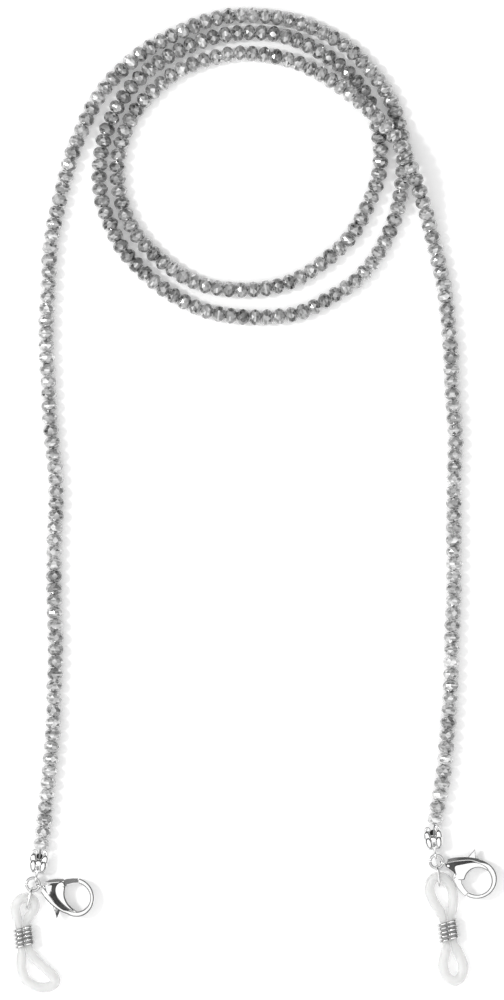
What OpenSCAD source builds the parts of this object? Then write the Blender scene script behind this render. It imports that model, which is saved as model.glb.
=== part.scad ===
// Beaded eyeglass retainer strap: one strand of faceted glass beads on a thin wire, laid down with
// three stacked turns, and at each end a clamshell bead tip, a jump ring, a lobster clasp and a
// silicone temple loop with its sliding coil. Millimetres, +Z up, resting on z = 0.

/* [Bead strand] */
// how many glass beads are threaded on the wire
bead_count = 292; // [240:1:300]
// diameter of a bead at its girdle
bead_d = 3.2; // [2.4:0.1:3.3]
// length of a bead along the wire
bead_h = 2.26; // [1.8:0.02:2.36]
// diameter of the hole through a bead
bead_bore = 1.3; // [1:0.05:1.4]
// diameter of the stringing wire
wire_d = 0.4; // [0.3:0.05:0.5]
// free wire from the middle of the left bead tip to the first bead
start_gap = 3.9; // [3.6:0.1:5]
// free wire from the last bead to the middle of the right bead tip
end_gap = 4.1; // [3.6:0.1:5]

/* [Bead tips] */
// outside diameter of the closed clamshell cups
tip_d = 3.6; // [3.4:0.1:3.8]
// wall of the cups
tip_wall = 0.35; // [0.25:0.05:0.4]
// width of the seam between the two cups
seam_w = 0.2; // [0.1:0.05:0.3]
// distance from the middle of the cups to the middle of the hook eye
tip_reach = 3.15; // [3.1:0.05:3.4]
// diameter of the crimped stop on the wire inside the cups
crimp_d = 2; // [1.6:0.1:2.2]

/* [Jump rings] */
// radius of the ring's centreline
ring_r = 1.3; // [1.25:0.05:1.4]
// diameter of the ring's wire
ring_wire = 0.6; // [0.5:0.05:0.65]
// part of the full turn taken by the closed ring
ring_sweep = 352; // [344:1:356]

/* [Lobster clasps] */
// radius of the eye's centreline, also used for the hook eye of a bead tip
eye_r = 0.65; // [0.62:0.01:0.7]
// diameter of the wire of the eyes
eye_wire = 0.5; // [0.4:0.02:0.5]
// distance from the eye to the middle of the clasp's opening
mouth_u = 7.9; // [7.8:0.05:8]
// radius of the clasp's opening
mouth_r = 2.66; // [2.6:0.01:2.7]
// outside radius of the hook round the opening
hook_r = 3.7; // [3.5:0.05:3.8]
// thickness of the hook
hook_t = 2.2; // [1.8:0.1:2.4]
// thickness over both cheeks
cheek_t = 2.5; // [2.4:0.1:2.8]
// width of the slot that takes the lever
slot_w = 1.2; // [1.1:0.05:1.3]
// thickness of the lever
lever_t = 1; // [0.8:0.05:1]
// reach of the gate's tip from the hinge pin
gate_reach = 4; // [3.9:0.05:4.1]
// diameter of the hinge pin
pin_d = 0.7; // [0.5:0.05:0.7]
// diameter of the spring wire in the lever's hub
spring_wire = 0.24; // [0.16:0.02:0.26]

/* [Oval link rings] */
// radius of the round ends
link_r = 1.5; // [1.4:0.05:1.6]
// length of the straight sides
link_side = 1.3; // [1.2:0.1:1.6]
// diameter of the link's wire
link_wire = 0.5; // [0.4:0.05:0.5]

/* [Temple loops] */
// diameter of the silicone cord of a loop
band_d = 2; // [1.6:0.05:2]
// diameter of the silicone where the coil squeezes it
waist_d = 1.44; // [1.3:0.02:1.46]
// diameter of the wire of the sliding coil
coil_wire = 0.6; // [0.4:0.02:0.6]
// turns of the sliding coil
coil_turns = 5; // [4:1:6]
// distance from one turn of the coil to the next
coil_pitch = 0.82; // [0.7:0.02:0.84]

/* [Hidden] */
// height of the end hardware's middle plane and of the silicone cord's middle
hw_z = 1.8;
band_z = 1.6;

// the strand's line from the left bead tip to the right one, as spline control points
route = [
    [-43.1, -72.6, 1.8], [-42.5, -68.8, 1.7], [-42, -65, 1.6], [-41.5, -60, 1.6], [-41, -55, 1.6],
    [-40.5, -50, 1.6], [-40, -44, 1.6], [-40, -37, 1.6], [-39.5, -30, 1.6], [-40, -22, 1.6],
    [-40, -15, 1.6], [-40, -8, 1.6], [-39.5, -2, 1.6], [-39.5, 3, 1.6], [-40, 8, 1.6],
    [-40.5, 13, 1.6], [-41, 18, 1.6], [-41, 23, 1.6], [-41.5, 28, 1.6], [-41.5, 33, 1.6],
    [-41.5, 38, 1.6], [-41, 43, 1.6], [-41, 48, 1.6], [-40.5, 53, 1.6], [-39, 59.5, 1.6],
    [-37.5, 65.5, 1.6], [-36, 70.5, 1.6], [-34, 75, 1.6], [-32, 79.5, 1.6], [-29.5, 83, 1.6],
    [-26, 86.5, 1.6], [-22.5, 89.5, 1.6], [-18.5, 92, 1.6], [-14, 94, 1.6], [-9.5, 96, 1.6],
    [-4.5, 97, 1.6], [0.5, 97, 1.6], [5, 96.5, 1.6], [9.5, 95.5, 1.6], [14, 93.5, 1.6],
    [18.5, 91, 1.6], [22, 87.5, 1.6], [25, 84, 1.6], [27.5, 80, 1.6], [29, 75.5, 1.6],
    [30, 71, 1.6], [30, 67, 1.6], [29.5, 63, 1.6], [29, 58.5, 1.6], [27, 53, 1.6],
    [24.5, 48.5, 1.6], [21, 44, 1.6], [17, 41.5, 1.6], [13, 39, 1.6], [8.5, 37, 1.6],
    [3.5, 36.5, 1.6], [-1.5, 36.5, 1.6], [-6, 37, 1.6], [-11, 38, 1.6], [-15.5, 40.5, 1.6],
    [-19.5, 43, 1.6], [-23, 46.5, 1.6], [-26.5, 50, 1.6], [-28.5, 54.5, 1.6], [-30, 58, 1.6],
    [-31, 62, 1.6], [-31, 66, 1.6], [-30.5, 71, 1.6], [-29, 75.5, 1.6], [-27, 79.5, 1.6],
    [-24, 83.5, 1.6], [-20, 87, 1.6], [-16, 89.5, 1.6], [-11.5, 91.5, 1.6], [-7, 93, 1.6],
    [-2, 93.5, 1.6], [3, 93.5, 1.6], [7.5, 92.5, 1.6], [12, 90.5, 1.6], [16.5, 87.5, 1.6],
    [20, 84.5, 1.6], [22.5, 81, 1.6], [24, 77.5, 1.6], [25, 73.5, 1.6], [25.5, 69, 1.6],
    [25, 64, 1.6], [23, 59.5, 1.6], [21, 55, 1.6], [18.5, 51.5, 1.6], [14.5, 48, 1.6],
    [10.5, 45, 1.6], [6, 43, 1.6], [1, 42, 1.6], [-4, 42, 1.6], [-9, 42.5, 1.6], [-13, 44, 1.6],
    [-17, 46.5, 1.6], [-21, 50, 1.6], [-24, 53.5, 1.6], [-26, 57.5, 1.6], [-27, 61.5, 1.6],
    [-27.5, 65.5, 1.6], [-27, 70, 1.6], [-25.5, 75, 1.6], [-23, 79, 1.6], [-19.5, 82.5, 1.6],
    [-16, 85.5, 1.6], [-11.5, 87.5, 1.6], [-6.5, 89, 1.6], [-2, 89.5, 1.6], [3, 89, 1.6],
    [7.5, 88, 1.8], [12, 86, 2.6], [16, 83.5, 3.8], [20, 80.5, 4.8], [24, 77, 5], [27.5, 73.5, 5],
    [30, 69.5, 5], [32, 65, 4.8], [33.5, 60.5, 3.6], [35, 55.5, 2.2], [36, 51, 1.6],
    [37.5, 45.5, 1.6], [38.5, 40, 1.6], [39, 34, 1.6], [39.5, 29, 1.6], [39.5, 23, 1.6],
    [40, 17, 1.6], [40.5, 12, 1.6], [40, 6, 1.6], [40, 0, 1.6], [40, -6, 1.6], [40, -13, 1.6],
    [40, -20, 1.6], [39.5, -28, 1.6], [39.5, -36, 1.6], [39, -43, 1.6], [38.5, -49, 1.6],
    [38, -55, 1.6], [37, -60, 1.6], [36.2, -64, 1.7], [35.9, -67.9, 1.8]
];

// the two silicone loops, across and along their coil, as closed spline control points
loop_left = [
    [0.75, -1.5], [0.75, 0], [0.75, 1.5], [0.75, 3], [1.6, 4.1], [2.7, 5.2], [3, 6.5], [2.45, 7.5],
    [1.05, 7.9], [-0.35, 7.5], [-1.2, 6.2], [-1.15, 4.6], [-0.75, 3], [-0.75, 1.5], [-0.75, 0],
    [-0.75, -1.5], [-0.75, -3], [-1.15, -4.8], [-1.3, -7], [-0.45, -9.2], [1.5, -10.35],
    [3.6, -10.65], [5.3, -9.95], [5.3, -8.55], [3.7, -6.9], [1.9, -4.9], [0.75, -3]
];
loop_right = [
    [0.75, -1.5], [0.75, 0], [0.75, 1.5], [0.75, 3], [1.5, 4.7], [1.9, 6.6], [1.8, 8.6], [1, 10.35],
    [-0.45, 11.3], [-2.1, 10.7], [-2.85, 8.9], [-2.45, 6.6], [-1.45, 4.6], [-0.75, 3], [-0.75, 1.5],
    [-0.75, 0], [-0.75, -1.5], [-0.75, -3], [-1.4, -4.7], [-2.25, -7], [-1.5, -9.55], [0, -10.3],
    [1.5, -9.55], [2.25, -7], [1.4, -4.7], [0.75, -3]
];
loops = [loop_left, loop_right];

// end hardware, [left, right]: middle of the cups and directions in degrees seen from above
tip_at = [[-43.1, -72.6, hw_z], [35.9, -67.9, hw_z]];
tip_dir = [81, 97];
hook_dir = [62, 100];
clasp_seat = [-13, -12];
clasp_dir = [-18, -27];
link_dir = [-105, -83];
coil_at = [[-46, -87.4, band_z], [38.9, -86.2, band_z]];
coil_tilt = [6.5, 7.5];

function ray(a) = [cos(a), sin(a), 0];
function eye_at(e) = tip_at[e] - tip_reach * ray(tip_dir[e]);
function ring_at(e) = eye_at(e) - ring_r * ray(hook_dir[e]);
function clasp_at(e) = ring_at(e) + ring_r * ray(clasp_seat[e]);

// uniform cubic spline
function spline(a, b, c, d, t) =
    let (u = 1 - t)
    (u * u * u * a + (3 * t * t * t - 6 * t * t + 4) * b
        + (3 * t * t - 3 * t * t * t + 3 * t + 1) * c + t * t * t * d) / 6;

steps = 8;
last = len(route) - 1;
ends = concat([2 * route[0] - route[1]], route, [2 * route[last] - route[last - 1]]);
line = concat(
    [for (i = [0 : last - 1]) for (k = [0 : steps - 1])
        spline(ends[i], ends[i + 1], ends[i + 2], ends[i + 3], k / steps)],
    [route[last]]);
along = [for (i = 0, s = 0; i < len(line);
    s = s + (i < len(line) - 1 ? norm(line[i + 1] - line[i]) : 0), i = i + 1) s];
strand_l = along[len(along) - 1];
line_x = [for (i = [0 : len(line) - 1]) [along[i], line[i].x]];
line_y = [for (i = [0 : len(line) - 1]) [along[i], line[i].y]];
line_z = [for (i = [0 : len(line) - 1]) [along[i], line[i].z]];
function at(s) = [lookup(s, line_x), lookup(s, line_y), lookup(s, line_z)];
function way(s) = let (d = at(s + 0.8) - at(s - 0.8)) d / norm(d);

bead_pitch = (strand_l - start_gap - end_gap) / (bead_count - 1);
function run_first(k) = round((k - 1) * bead_count / 12);

// tubes: rings of points round a list of [centre, direction, radius]
function side_of(d) = let (n = cross([0, 0, 1], d)) n / norm(n);
function tube_ring(c, d, r, m) =
    let (n = side_of(d), b = cross(d, n))
    [for (j = [0 : m - 1]) c + r * (cos(360 * j / m) * n + sin(360 * j / m) * b)];
function tube_points(rings, m) =
    [for (q = rings) for (p = tube_ring(q[0], q[1], q[2], m)) p];
function tube_skin(n, m, closed) =
    [for (i = [0 : n - (closed ? 1 : 2)]) for (j = [0 : m - 1])
        let (a = i * m, b = ((i + 1) % n) * m, k = (j + 1) % m)
        for (f = [[a + j, b + j, b + k], [a + j, b + k, a + k]]) f];
function tube_ends(n, m) =
    [[for (j = [0 : m - 1]) j], [for (j = [m - 1 : -1 : 0]) (n - 1) * m + j]];

// ---- strand ----

module bead() {
    r = bead_d / 2;
    h = bead_h / 2;
    b = bead_bore / 2;
    rotate_extrude($fn = 48)
        polygon([[b, -h], [0.5 * r, -h], [0.84 * r, -0.55 * h], [r, -0.18 * h],
            [r, 0.18 * h], [0.84 * r, 0.55 * h], [0.5 * r, h], [b, h]]);
}

module point_along(p, d) {
    translate(p)
        rotate([0, acos(d.z), atan2(d.y, d.x)])
            children();
}

module bead_run(k) {
    color([0.62, 0.62, 0.64])
        for (i = [run_first(k) : run_first(k + 1) - 1]) {
            s = start_gap + i * bead_pitch;
            point_along(at(s), way(s)) bead();
        }
}

module bead_run_01() { bead_run(1); }
module bead_run_02() { bead_run(2); }
module bead_run_03() { bead_run(3); }
module bead_run_04() { bead_run(4); }
module bead_run_05() { bead_run(5); }
module bead_run_06() { bead_run(6); }
module bead_run_07() { bead_run(7); }
module bead_run_08() { bead_run(8); }
module bead_run_09() { bead_run(9); }
module bead_run_10() { bead_run(10); }
module bead_run_11() { bead_run(11); }
module bead_run_12() { bead_run(12); }

module stringing_wire() {
    legs = 12;
    turns = 6.6;
    a = 11 * legs;
    m = ceil((strand_l - 2 * a) / turns);
    stops = concat(
        [for (i = [0 : 10]) i * legs],
        [for (i = [0 : m]) a + i * (strand_l - 2 * a) / m],
        [for (i = [1 : 11]) strand_l - a + i * legs]);
    w0 = way(0);
    w1 = way(strand_l);
    tail = 0.7;
    rings = concat(
        [[at(0) - tail * w0, w0, wire_d / 2]],
        [for (s = stops) [at(s), way(s), wire_d / 2]],
        [[at(strand_l) + tail * w1, w1, wire_d / 2]]);
    color([0.3, 0.3, 0.32])
        polyhedron(
            points = tube_points(rings, 8),
            faces = concat(tube_skin(len(rings), 8, false), tube_ends(len(rings), 8)));
}

module crimp(e) {
    color([0.75, 0.75, 0.77])
        point_along(tip_at[e], way(e * strand_l))
            difference() {
                sphere(d = crimp_d, $fn = 48);
                translate([0, 0, -crimp_d])
                    cylinder(d = wire_d + 0.1, h = 2 * crimp_d, $fn = 32);
            }
}

module crimp_left() { crimp(0); }
module crimp_right() { crimp(1); }

// ---- shared ring wire ----

module ring_of(r, w, a = 360) {
    rotate_extrude(angle = a, $fn = 64)
        translate([r, 0])
            circle(d = w, $fn = 32);
}

// ---- bead tips ----

module bead_tip(e) {
    r = tip_d / 2;
    color([0.78, 0.78, 0.8])
        translate(tip_at[e])
            rotate([0, 0, tip_dir[e]]) {
                difference() {
                    union() {
                        sphere(r = r, $fn = 64);
                        rotate([0, 90, 0])
                            cylinder(r = 1.15, h = r + 0.4, $fn = 48);
                        translate([-2.5, 0, 0])
                            rotate([0, 90, 0])
                                cylinder(d = 0.6, h = 0.95, $fn = 32);
                    }
                    sphere(r = r - tip_wall, $fn = 64);
                    rotate([0, 90, 0])
                        cylinder(r = 0.85, h = 3, $fn = 48);
                    translate([-1, -seam_w / 2, -3])
                        cube([4, seam_w, 6]);
                }
                translate([-tip_reach, 0, 0])
                    rotate([90, 0, 0])
                        ring_of(eye_r, eye_wire);
            }
}

module bead_tip_left() { bead_tip(0); }
module bead_tip_right() { bead_tip(1); }

// ---- jump rings ----

module jump_ring(e) {
    color([0.8, 0.8, 0.82])
        translate(ring_at(e))
            rotate([0, 0, 180 + (360 - ring_sweep) / 2])
                ring_of(ring_r, ring_wire, ring_sweep);
}

module jump_ring_left() { jump_ring(0); }
module jump_ring_right() { jump_ring(1); }

// ---- lobster clasps: u from the eye to the tip, gate on the +v side ----

pivot = [3.9, 1, 0];

module on_clasp(e) {
    translate(clasp_at(e))
        rotate([0, 0, clasp_dir[e]])
            if (e == 1) {
                mirror([0, 1, 0]) children();
            } else {
                children();
            }
}

module clasp_body(e) {
    h = hook_t / 2;
    color([0.8, 0.8, 0.82])
        on_clasp(e)
            difference() {
                union() {
                    rotate([90, 0, 0])
                        ring_of(eye_r, eye_wire);
                    translate([0.7, -0.6, -0.45])
                        cube([1.2, 1.2, 0.9]);
                    difference() {
                        translate([0, 0, -cheek_t / 2])
                            linear_extrude(cheek_t)
                                polygon([[1.2, -1], [2.3, -1.9], [3.5, -2.75], [4.6, -3.2],
                                    [5.8, -3.4], [6.9, -3.5], [7, -2.4], [5.6, 0.6], [5, 2],
                                    [4.3, 2.3], [3.3, 2], [2.3, 1.4], [1.2, 0.8]]);
                        translate([mouth_u, 0, -3])
                            cylinder(r = mouth_r + 0.04, h = 6, $fn = 64);
                    }
                    difference() {
                        translate([mouth_u, 0, 0])
                            rotate([0, 0, -135])
                                rotate_extrude(angle = 250, $fn = 64)
                                    polygon([[mouth_r, -0.65 * h], [mouth_r + 0.25, -h],
                                        [hook_r - 0.35, -h], [hook_r, -0.65 * h],
                                        [hook_r, 0.65 * h], [hook_r - 0.35, h],
                                        [mouth_r + 0.25, h], [mouth_r, 0.65 * h]]);
                        intersection() {
                            translate([0, 0, -3])
                                translate(pivot)
                                    cylinder(r = gate_reach + 0.08, h = 6, $fn = 96);
                            translate([3, 1, -3])
                                cube([6, 5, 6]);
                        }
                    }
                }
                translate([2.4, -6, -slot_w / 2])
                    cube([3.8, 12, slot_w]);
                translate([0, 0, -3])
                    translate(pivot)
                        cylinder(d = pin_d + 0.02, h = 6, $fn = 32);
            }
}

module clasp_lever(e) {
    color([0.72, 0.72, 0.74])
        on_clasp(e)
            difference() {
                union() {
                    translate([0, 0, -lever_t / 2])
                        linear_extrude(lever_t)
                            polygon([[3, 1.4], [3.5, 2.1], [4.9, 3], [6.1, 3.5], [7.6, 3.65],
                                [8.1, 3], [7.9, 2], [6, 0], [6, -1.7], [5.7, -3.9], [5.5, -5.3],
                                [4.1, -3.1], [4, -1.4], [3.1, 0.2]]);
                    translate([0, 0, -lever_t / 2])
                        translate(pivot)
                            cylinder(r = 1.05, h = lever_t, $fn = 48);
                }
                translate([mouth_u, 0, -3])
                    cylinder(r = mouth_r, h = 6, $fn = 64);
                difference() {
                    translate([5, 1, -2])
                        cube([5, 5, 4]);
                    translate([0, 0, -3])
                        translate(pivot)
                            cylinder(r = gate_reach, h = 6, $fn = 96);
                }
                translate([0, 0, -3])
                    translate(pivot)
                        cylinder(d = pin_d + 0.1, h = 6, $fn = 32);
                translate([0, 0, 0.05])
                    translate(pivot)
                        cylinder(r = 0.78, h = 2, $fn = 48);
            }
}

module clasp_pin(e) {
    h = cheek_t / 2;
    color([0.85, 0.85, 0.86])
        on_clasp(e)
            translate(pivot) {
                translate([0, 0, -h - 0.1])
                    cylinder(d = pin_d, h = 2 * h + 0.2, $fn = 32);
                translate([0, 0, h + 0.02])
                    cylinder(r = 0.55, h = 0.15, $fn = 32);
                translate([0, 0, -h - 0.17])
                    cylinder(r = 0.55, h = 0.15, $fn = 32);
            }
}

module clasp_spring(e) {
    color([0.6, 0.6, 0.62])
        on_clasp(e)
            translate([pivot.x, pivot.y, 0.28])
                ring_of(0.6, spring_wire, 300);
}

module clasp_body_left() { clasp_body(0); }
module clasp_body_right() { clasp_body(1); }
module clasp_lever_left() { clasp_lever(0); }
module clasp_lever_right() { clasp_lever(1); }
module clasp_pin_left() { clasp_pin(0); }
module clasp_pin_right() { clasp_pin(1); }
module clasp_spring_left() { clasp_spring(0); }
module clasp_spring_right() { clasp_spring(1); }

// ---- oval link rings, standing on edge between the jump ring and the silicone loop ----

module link_ring(e) {
    near = ring_r - eye_r + link_r;
    far = near + link_side;
    color([0.8, 0.8, 0.82])
        translate(ring_at(e))
            rotate([0, 0, link_dir[e]])
                rotate([90, 0, 0]) {
                    translate([near, 0, 0])
                        rotate([0, 0, 90])
                            ring_of(link_r, link_wire, 180);
                    translate([far, 0, 0])
                        rotate([0, 0, -90])
                            ring_of(link_r, link_wire, 180);
                    for (s = [-1, 1])
                        translate([near, s * link_r, 0])
                            rotate([0, 90, 0])
                                cylinder(d = link_wire, h = link_side, $fn = 32);
                }
}

module link_ring_left() { link_ring(0); }
module link_ring_right() { link_ring(1); }

// ---- silicone temple loops ----

function ease(t) = let (q = min(1, max(0, t))) q * q * (3 - 2 * q);
function band_r(v) = waist_d / 2 + (band_d - waist_d) / 2 * ease((abs(v) - 2.4) / 1.6);

function loop_line(c) =
    let (n = len(c))
    [for (i = [0 : n - 1]) for (k = [0, 1])
        spline(c[i], c[(i + 1) % n], c[(i + 2) % n], c[(i + 3) % n], k / 2)];

module silicone_loop(e) {
    p = loop_line(loops[e]);
    n = len(p);
    rings = [for (i = [0 : n - 1])
        let (d = p[(i + 1) % n] - p[(i + n - 1) % n])
        [[p[i].x, p[i].y, 0], [d.x, d.y, 0] / norm(d), band_r(p[i].y)]];
    color([0.9, 0.9, 0.9, 0.8])
        translate(coil_at[e])
            rotate([0, 0, coil_tilt[e]])
                polyhedron(points = tube_points(rings, 10), faces = tube_skin(n, 10, true));
}

module silicone_loop_left() { silicone_loop(0); }
module silicone_loop_right() { silicone_loop(1); }

// ---- sliding coils, wound round both strands of the silicone ----

coil_x = 0.75;
coil_r = 1.07;
arc_l = PI * coil_r;
turn_l = 2 * arc_l + 4 * coil_x;

// point of the winding at the distance s round one turn, in the plane across the coil
function wind(s) =
    s < 2 * coil_x ? [coil_x - s, -coil_r] :
    s < 2 * coil_x + arc_l ?
        [-coil_x, 0] - coil_r * [sin((s - 2 * coil_x) / coil_r * 180 / PI),
            cos((s - 2 * coil_x) / coil_r * 180 / PI)] :
    s < 4 * coil_x + arc_l ? [s - 3 * coil_x - arc_l, coil_r] :
        [coil_x, 0] + coil_r * [sin((s - 4 * coil_x - arc_l) / coil_r * 180 / PI),
            cos((s - 4 * coil_x - arc_l) / coil_r * 180 / PI)];

module coil_slider(e) {
    m = 20;
    n = coil_turns * m;
    h = coil_pitch * coil_turns;
    function spot(i) =
        let (w = wind((((i % m) + m) % m) / m * turn_l))
        [w.x, coil_pitch * i / m - h / 2, w.y];
    rings = [for (i = [0 : n])
        let (d = spot(i + 1) - spot(i - 1), u = d / norm(d),
            q = cross([0, 1, 0], u), a = q / norm(q), b = cross(u, a), c = spot(i))
        [for (j = [0 : 5]) c + coil_wire / 2 * (cos(60 * j) * a + sin(60 * j) * b)]];
    color([0.82, 0.82, 0.84])
        translate(coil_at[e])
            rotate([0, 0, coil_tilt[e]])
                polyhedron(
                    points = [for (r = rings) for (p = r) p],
                    faces = concat(tube_skin(n + 1, 6, false), tube_ends(n + 1, 6)));
}

module coil_slider_left() { coil_slider(0); }
module coil_slider_right() { coil_slider(1); }

// ---- drawing ----

stringing_wire();
bead_run_01();
bead_run_02();
bead_run_03();
bead_run_04();
bead_run_05();
bead_run_06();
bead_run_07();
bead_run_08();
bead_run_09();
bead_run_10();
bead_run_11();
bead_run_12();
crimp_left();
bead_tip_left();
jump_ring_left();
clasp_body_left();
clasp_lever_left();
clasp_pin_left();
clasp_spring_left();
link_ring_left();
silicone_loop_left();
coil_slider_left();
crimp_right();
bead_tip_right();
jump_ring_right();
clasp_body_right();
clasp_lever_right();
clasp_pin_right();
clasp_spring_right();
link_ring_right();
silicone_loop_right();
coil_slider_right();
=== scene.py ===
"""Beaded eyeglass retainer strap: beads, lobster clasps and silicone loops on a white table."""

import math
import random

import bmesh
import bpy
import numpy as np
from mathutils import Matrix, Vector


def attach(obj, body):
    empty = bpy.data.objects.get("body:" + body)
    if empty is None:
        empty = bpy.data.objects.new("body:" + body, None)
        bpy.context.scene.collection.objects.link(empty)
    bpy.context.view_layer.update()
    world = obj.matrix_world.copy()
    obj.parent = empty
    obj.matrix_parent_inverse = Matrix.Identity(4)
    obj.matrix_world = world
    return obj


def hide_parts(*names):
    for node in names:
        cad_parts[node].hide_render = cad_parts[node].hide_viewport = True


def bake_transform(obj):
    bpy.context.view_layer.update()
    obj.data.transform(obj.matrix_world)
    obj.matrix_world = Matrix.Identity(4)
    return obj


MM = 0.001

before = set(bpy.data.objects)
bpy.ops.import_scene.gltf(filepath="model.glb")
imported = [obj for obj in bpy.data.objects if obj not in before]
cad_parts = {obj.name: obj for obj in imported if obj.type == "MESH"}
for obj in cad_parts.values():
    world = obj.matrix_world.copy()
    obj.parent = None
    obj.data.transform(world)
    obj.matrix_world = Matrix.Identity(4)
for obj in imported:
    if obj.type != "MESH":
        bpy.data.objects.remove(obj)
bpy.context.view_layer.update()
scene = bpy.context.scene
random.seed(7)

# ---------------------------------------------------------------- camera

CAMERA_HEIGHT = 1.6
CAMERA_SHIFT = -0.4 * MM
VIEW_HEIGHT = 0.2
VIEW_LEVEL = 1.6 * MM
SENSOR_HEIGHT = 24

camera_data = bpy.data.cameras.new("camera")
camera = bpy.data.objects.new("camera", camera_data)
scene.collection.objects.link(camera)
scene.camera = camera
camera_data.sensor_fit = "VERTICAL"
camera_data.sensor_height = SENSOR_HEIGHT
camera_data.lens = SENSOR_HEIGHT * (CAMERA_HEIGHT - VIEW_LEVEL) / VIEW_HEIGHT
camera_data.clip_start = 0.05
camera_data.clip_end = 20
camera.location = (CAMERA_SHIFT, 0, CAMERA_HEIGHT)
camera.rotation_euler = (0, 0, 0)

# ---------------------------------------------------------------- the strand's line

# spline points from the left bead tip to the right one, in metres
ROUTE = [
    (-0.0431, -0.0726, 0.0018), (-0.0425, -0.0688, 0.0017), (-0.042, -0.065, 0.0016),
    (-0.0415, -0.06, 0.0016), (-0.041, -0.055, 0.0016), (-0.0405, -0.05, 0.0016),
    (-0.04, -0.044, 0.0016), (-0.04, -0.037, 0.0016), (-0.0395, -0.03, 0.0016),
    (-0.04, -0.022, 0.0016), (-0.04, -0.015, 0.0016), (-0.04, -0.008, 0.0016),
    (-0.0395, -0.002, 0.0016), (-0.0395, 0.003, 0.0016), (-0.04, 0.008, 0.0016),
    (-0.0405, 0.013, 0.0016), (-0.041, 0.018, 0.0016), (-0.041, 0.023, 0.0016),
    (-0.0415, 0.028, 0.0016), (-0.0415, 0.033, 0.0016), (-0.0415, 0.038, 0.0016),
    (-0.041, 0.043, 0.0016), (-0.041, 0.048, 0.0016), (-0.0405, 0.053, 0.0016),
    (-0.039, 0.0595, 0.0016), (-0.0375, 0.0655, 0.0016), (-0.036, 0.0705, 0.0016),
    (-0.034, 0.075, 0.0016), (-0.032, 0.0795, 0.0016), (-0.0295, 0.083, 0.0016),
    (-0.026, 0.0865, 0.0016), (-0.0225, 0.0895, 0.0016), (-0.0185, 0.092, 0.0016),
    (-0.014, 0.094, 0.0016), (-0.0095, 0.096, 0.0016), (-0.0045, 0.097, 0.0016),
    (0.0005, 0.097, 0.0016), (0.005, 0.0965, 0.0016), (0.0095, 0.0955, 0.0016),
    (0.014, 0.0935, 0.0016), (0.0185, 0.091, 0.0016), (0.022, 0.0875, 0.0016),
    (0.025, 0.084, 0.0016), (0.0275, 0.08, 0.0016), (0.029, 0.0755, 0.0016), (0.03, 0.071, 0.0016),
    (0.03, 0.067, 0.0016), (0.0295, 0.063, 0.0016), (0.029, 0.0585, 0.0016), (0.027, 0.053, 0.0016),
    (0.0245, 0.0485, 0.0016), (0.021, 0.044, 0.0016), (0.017, 0.0415, 0.0016),
    (0.013, 0.039, 0.0016), (0.0085, 0.037, 0.0016), (0.0035, 0.0365, 0.0016),
    (-0.0015, 0.0365, 0.0016), (-0.006, 0.037, 0.0016), (-0.011, 0.038, 0.0016),
    (-0.0155, 0.0405, 0.0016), (-0.0195, 0.043, 0.0016), (-0.023, 0.0465, 0.0016),
    (-0.0265, 0.05, 0.0016), (-0.0285, 0.0545, 0.0016), (-0.03, 0.058, 0.0016),
    (-0.031, 0.062, 0.0016), (-0.031, 0.066, 0.0016), (-0.0305, 0.071, 0.0016),
    (-0.029, 0.0755, 0.0016), (-0.027, 0.0795, 0.0016), (-0.024, 0.0835, 0.0016),
    (-0.02, 0.087, 0.0016), (-0.016, 0.0895, 0.0016), (-0.0115, 0.0915, 0.0016),
    (-0.007, 0.093, 0.0016), (-0.002, 0.0935, 0.0016), (0.003, 0.0935, 0.0016),
    (0.0075, 0.0925, 0.0016), (0.012, 0.0905, 0.0016), (0.0165, 0.0875, 0.0016),
    (0.02, 0.0845, 0.0016), (0.0225, 0.081, 0.0016), (0.024, 0.0775, 0.0016),
    (0.025, 0.0735, 0.0016), (0.0255, 0.069, 0.0016), (0.025, 0.064, 0.0016),
    (0.023, 0.0595, 0.0016), (0.021, 0.055, 0.0016), (0.0185, 0.0515, 0.0016),
    (0.0145, 0.048, 0.0016), (0.0105, 0.045, 0.0016), (0.006, 0.043, 0.0016),
    (0.001, 0.042, 0.0016), (-0.004, 0.042, 0.0016), (-0.009, 0.0425, 0.0016),
    (-0.013, 0.044, 0.0016), (-0.017, 0.0465, 0.0016), (-0.021, 0.05, 0.0016),
    (-0.024, 0.0535, 0.0016), (-0.026, 0.0575, 0.0016), (-0.027, 0.0615, 0.0016),
    (-0.0275, 0.0655, 0.0016), (-0.027, 0.07, 0.0016), (-0.0255, 0.075, 0.0016),
    (-0.023, 0.079, 0.0016), (-0.0195, 0.0825, 0.0016), (-0.016, 0.0855, 0.0016),
    (-0.0115, 0.0875, 0.0016), (-0.0065, 0.089, 0.0016), (-0.002, 0.0895, 0.0016),
    (0.003, 0.089, 0.0016), (0.0075, 0.088, 0.0018), (0.012, 0.086, 0.0026),
    (0.016, 0.0835, 0.0038), (0.02, 0.0805, 0.0048), (0.024, 0.077, 0.005), (0.0275, 0.0735, 0.005),
    (0.03, 0.0695, 0.005), (0.032, 0.065, 0.0048), (0.0335, 0.0605, 0.0036),
    (0.035, 0.0555, 0.0022), (0.036, 0.051, 0.0016), (0.0375, 0.0455, 0.0016),
    (0.0385, 0.04, 0.0016), (0.039, 0.034, 0.0016), (0.0395, 0.029, 0.0016),
    (0.0395, 0.023, 0.0016), (0.04, 0.017, 0.0016), (0.0405, 0.012, 0.0016), (0.04, 0.006, 0.0016),
    (0.04, 0, 0.0016), (0.04, -0.006, 0.0016), (0.04, -0.013, 0.0016), (0.04, -0.02, 0.0016),
    (0.0395, -0.028, 0.0016), (0.0395, -0.036, 0.0016), (0.039, -0.043, 0.0016),
    (0.0385, -0.049, 0.0016), (0.038, -0.055, 0.0016), (0.037, -0.06, 0.0016),
    (0.0362, -0.064, 0.0017), (0.0359, -0.0679, 0.0018),
]
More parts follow.
